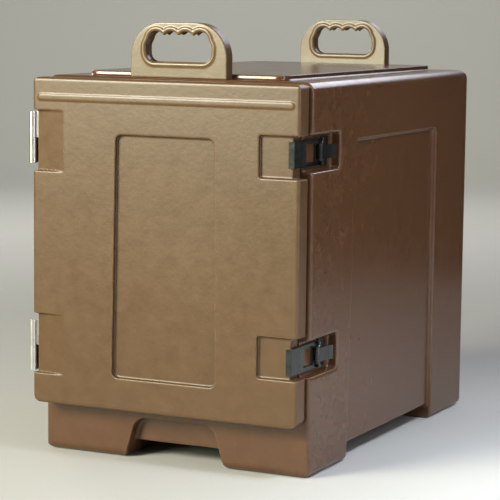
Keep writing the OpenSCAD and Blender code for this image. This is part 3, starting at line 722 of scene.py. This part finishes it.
def screw_recipe():
    tree, given, result = recipe("screws", {"Facing": "Vector", "Head": "Float",
                                 "Shank": "Float", "Length": "Float", "Slot": "Float",
                                 "Seed": "Int"})
    rise = sums(tree, "SUBTRACT", given["Head"], given["Shank"])
    sunk = add_node(tree, "ShaderNodeCombineXYZ",
                    {"Z": sums(tree, "MULTIPLY", rise, -1.0)}).outputs[0]
    cone = add_node(tree, "GeometryNodeMeshCone", {"Vertices": 32, "Radius Top": given["Head"],
                    "Radius Bottom": given["Shank"], "Depth": rise}).outputs[0]
    head = add_node(tree, "GeometryNodeTransform", {"Geometry": cone, "Translation": sunk})
    slot_size = add_node(tree, "ShaderNodeCombineXYZ", {"X": sums(tree, "MULTIPLY",
                         given["Head"], 1.15), "Y": given["Slot"], "Z": rise}).outputs[0]
    blade = add_node(tree, "GeometryNodeMeshCube", {"Size": slot_size}).outputs[0]
    across = add_node(tree, "GeometryNodeTransform", {"Geometry": blade,
                      "Rotation": (0, 0, math.pi / 2)}).outputs[0]
    cut = add_node(tree, "GeometryNodeMeshBoolean", {0: head.outputs[0]},
                   operation="DIFFERENCE", solver="EXACT")
    for cutter in (blade, across):
        tree.links.new(cutter, cut.inputs[1])
    rod = add_node(tree, "GeometryNodeMeshCylinder", {"Vertices": 20, "Radius": given["Shank"],
                   "Depth": sums(tree, "SUBTRACT", given["Length"], rise)}).outputs[0]
    half = sums(tree, "MULTIPLY", sums(tree, "ADD", given["Length"], rise), -0.5)
    down = add_node(tree, "ShaderNodeCombineXYZ", {"Z": half}).outputs[0]
    shank = add_node(tree, "GeometryNodeTransform", {"Geometry": rod, "Translation": down})
    whole = add_node(tree, "GeometryNodeJoinGeometry")
    for part in (cut.outputs[0], shank.outputs[0]):
        tree.links.new(part, whole.inputs[0])
    spin = add_node(tree, "FunctionNodeRandomValue", {2: 0.0, 3: math.pi, "Seed": given["Seed"]},
                    data_type="FLOAT").outputs[1]
    turned = add_node(tree, "ShaderNodeCombineXYZ", {"Z": spin}).outputs[0]
    aim = add_node(tree, "FunctionNodeAlignRotationToVector", {"Vector": given["Facing"]},
                   axis="Z").outputs[0]
    turn = add_node(tree, "FunctionNodeRotateRotation", {0: aim, 1: turned},
                    rotation_space="LOCAL").outputs[0]
    placed = add_node(tree, "GeometryNodeInstanceOnPoints", {"Points": given["Geometry"],
                      "Instance": whole.outputs[0], "Rotation": turn}).outputs[0]
    serve(tree, result, placed, given["Finish"])
    return tree


screw_tree = screw_recipe()
black_steel = brushed_steel("black_steel", 0.3, (0.02, 0.02, 0.02, 1), (0.045, 0.044, 0.042, 1))
for seed, (node, side, rider, finish) in enumerate((
    ("hinge_body_screws", -1, "carrier", pin_steel),
    ("hinge_door_screws", -1, "door", pin_steel),
    ("latch_screws", 1, "carrier", black_steel),
)):
    heads = []
    for low, high in islands(node):
        middle = (low + high) / 2
        heads.append((low.x if side < 0 else high.x, middle.y, middle.z))
    screws = point_piece("steel_" + node, heads)
    cook(screws, screw_tree, Facing=(side, 0, 0), Head=head_radius, Shank=shank_radius,
         Length=screw_length, Slot=slot_width, Seed=seed, Finish=finish)
    bevel_edges(screws, head_bevel, 1)
    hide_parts(node)
    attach(screws, rider)


# ------------------------------------------------------------------ floor and light
# The carrier stands on a pale studio floor that curves up into a wall all round it. Warm
# soft boxes light its front from the left, cool ones its right side and its top edges,
# and black cards keep the reflections in the plastic dark.
floor_radius = 4.2
sweep_radius = 1.5
sweep_steps = 12
turn_steps = 72
wall_height = 4.5
warm = (1.0, 0.95, 0.8)
mossy = (0.84, 1.0, 0.7)
cream = (1.0, 0.98, 0.94)
buff = (1.0, 0.98, 0.93)
sky_blue = (0.84, 0.9, 1.0)
lavender = (0.88, 0.88, 1.0)
rose_white = (0.92, 0.88, 1.0)
cloth_black = (0.01, 0.01, 0.01, 1)
card_rise = 0.01


def studio_paint():
    material, tree, surface = new_finish("studio_paint", Roughness=0.8)
    place = object_place(tree)
    patch = noise(tree, place, 0.8, 3)
    tree.links.new(blend_colours(tree, patch, (0.44, 0.44, 0.415, 1), (0.48, 0.48, 0.46, 1)),
                   surface["Base Color"])
    bump = add_node(tree, "ShaderNodeBump", {"Height": noise(tree, place, 900.0),
                    "Distance": 0.0001})
    tree.links.new(bump.outputs[0], surface["Normal"])
    return material


shape = bmesh.new()
profile = [(0.0, 0.0), (floor_radius, 0.0)]
for step in range(1, sweep_steps + 1):
    angle = math.pi / 2 * step / sweep_steps
    profile.append((floor_radius + sweep_radius * math.sin(angle),
                    sweep_radius * (1 - math.cos(angle))))
profile.append((floor_radius + sweep_radius, wall_height))
verts = [shape.verts.new((radius, 0, height)) for radius, height in profile]
edges = [shape.edges.new(pair) for pair in zip(verts, verts[1:])]
bmesh.ops.spin(shape, geom=verts + edges, cent=(0, 0, 0), axis=(0, 0, 1),
               angle=math.tau, steps=turn_steps)
bmesh.ops.remove_doubles(shape, verts=shape.verts, dist=1e-4)
bmesh.ops.recalc_face_normals(shape, faces=shape.faces)
mesh = bpy.data.meshes.new("studio_sweep")
shape.to_mesh(mesh)
shape.free()
mesh.shade_smooth()
sweep = bpy.data.objects.new("studio_sweep", mesh)
scene.collection.objects.link(sweep)
paint(sweep, studio_paint())


def soft_box(name, place, target, size, power, colour, beam=180):
    """A rectangular lamp turned towards its target, with a beam as wide as this many degrees."""
    light = bpy.data.lights.new(name, "AREA")
    light.spread = math.radians(beam)
    light.shape = "RECTANGLE"
    light.size, light.size_y = size
    light.energy = power
    light.color = colour
    lamp = bpy.data.objects.new(name, light)
    aim = (Vector(target) - Vector(place)).to_track_quat("-Z", "Y")
    lamp.matrix_world = Matrix.Translation(place) @ aim.to_matrix().to_4x4()
    lamp.visible_camera = False
    scene.collection.objects.link(lamp)


soft_box("key", (-1.3, -2.5, 1.5), (0, -0.2, 0.6), (1.3, 1.0), 68, warm, 120)
soft_box("low_front", (-1.5, -3.2, 0.86), (0, -0.3, 0.5), (1.3, 0.4), 42, mossy)
soft_box("side_strip", (2.3, -0.95, 1.0), (0.2, -0.3, 0.4), (0.22, 1.5), 17, rose_white)
soft_box("sky", (1.9, -0.5, 2.3), (1.5, -0.3, 0), (1.3, 1.3), 40, sky_blue, 62)
soft_box("back", (0.5, 3.0, 2.1), (0, 0.1, 0.4), (2.4, 0.7), 26, lavender)
soft_box("rear_left", (-2.6, 1.6, 1.6), (0, 0.2, 0.3), (1.0, 1.0), 24, cream)
soft_box("backdrop", (-1.3, 2.4, 2.4), (-2.4, 4.8, 0.6), (2.0, 1.0), 60, buff)


def black_card(name, corners):
    """A sheet that shows only as a dark reflection, which keeps the plastic's colour deep."""
    mesh = bpy.data.meshes.new(name)
    mesh.from_pydata(corners, [], [(0, 1, 2, 3)])
    card = bpy.data.objects.new(name, mesh)
    card.visible_camera = card.visible_diffuse = card.visible_shadow = False
    scene.collection.objects.link(card)
    paint(card, black_cloth)


black_cloth = new_finish("black_cloth", Roughness=0.9, Base_Color=cloth_black)[0]
black_card("side_card", [(0, 2, 0), (2.1, 1.3, 0), (2.1, 1.3, 1.25), (0, 2, 1.25)])
black_card("floor_card", [(-2.6, -3.8, card_rise), (-0.1, -3.8, card_rise),
                          (-0.1, -0.9, card_rise), (-2.6, -0.9, card_rise)])
world = bpy.data.worlds.new("studio")
world.use_nodes = True
daylight = world.node_tree.nodes["Background"].inputs
daylight["Color"].default_value = (0.95, 0.97, 1.0, 1)
daylight["Strength"].default_value = 0.05
scene.world = world
